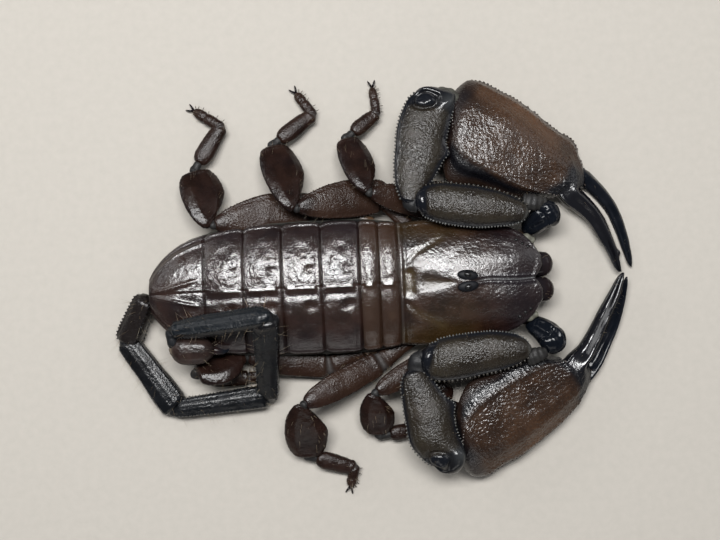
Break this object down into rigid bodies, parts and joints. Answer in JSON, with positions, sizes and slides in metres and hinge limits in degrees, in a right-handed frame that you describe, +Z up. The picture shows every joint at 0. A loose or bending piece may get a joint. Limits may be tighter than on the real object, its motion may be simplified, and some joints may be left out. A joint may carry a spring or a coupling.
{
  "type": "flat rock scorpion",
  "caption": "Still, life-size flat rock scorpion at rest: flat body, broad claws held forward, thin tail curled beside and over its rear.",
  "frame": {"origin": "middle of the whole footprint, on the floor", "axes": "+X towards the head and claws, +Y to the animal's left, +Z up"},
  "size_m": [0.073, 0.0568, 0.0127],
  "materials": {
    "shell": "glossy dark brown-black chitin, pitted in bands, over the head shield, back plates and claw arms",
    "brown_shell": "reddish-brown granular chitin of the hands and venom bulb",
    "black_shell": "blue-black chitin of the tail, fingers and sting",
    "leg_shell": "dark red-brown satin chitin of the legs, with short fine hairs",
    "underside": "brown-grey underside plates and pale soft skin between plates",
    "eye": "polished black lens"
  },
  "bodies": {
    "root": {"arm_left_femur": "shell", "arm_left_finger": "black_shell", "arm_left_hand": "brown_shell", "arm_left_hip": "black_shell", "arm_left_patella": "shell", "arm_right_femur": "shell", "arm_right_finger": "black_shell", "arm_right_hand": "brown_shell", "arm_right_hip": "black_shell", "arm_right_patella": "shell", "belly": "underside", "carapace": "shell", "chelicera_left": "shell", "chelicera_right": "shell", "comb_left": "underside", "comb_right": "underside", "eye_left": "eye", "eye_right": "eye", "hips": "underside", "leg_left_1_femur": "leg_shell", "leg_left_1_foot": "leg_shell", "leg_left_1_patella": "leg_shell", "leg_left_2_femur": "leg_shell", "leg_left_2_foot": "leg_shell", "leg_left_2_patella": "leg_shell", "leg_left_3_femur": "leg_shell", "leg_left_3_foot": "leg_shell", "leg_left_3_patella": "leg_shell", "leg_left_4_femur": "leg_shell", "leg_left_4_foot": "leg_shell", "leg_left_4_patella": "leg_shell", "leg_right_1_femur": "leg_shell", "leg_right_1_foot": "leg_shell", "leg_right_1_patella": "leg_shell", "leg_right_2_femur": "leg_shell", "leg_right_2_foot": "leg_shell", "leg_right_2_patella": "leg_shell", "leg_right_3_femur": "leg_shell", "leg_right_3_foot": "leg_shell", "leg_right_3_patella": "leg_shell", "leg_right_4_femur": "leg_shell", "leg_right_4_foot": "leg_shell", "leg_right_4_patella": "leg_shell", "sting": "black_shell", "tail_1": "black_shell", "tail_2": "black_shell", "tail_3": "black_shell", "tail_4": "black_shell", "tail_5": "black_shell", "tergite_1": "shell", "tergite_2": "shell", "tergite_3": "shell", "tergite_4": "shell", "tergite_5": "shell", "tergite_6": "shell", "tergite_7": "shell", "vesicle": "brown_shell"}
  },
  "joints": []
}
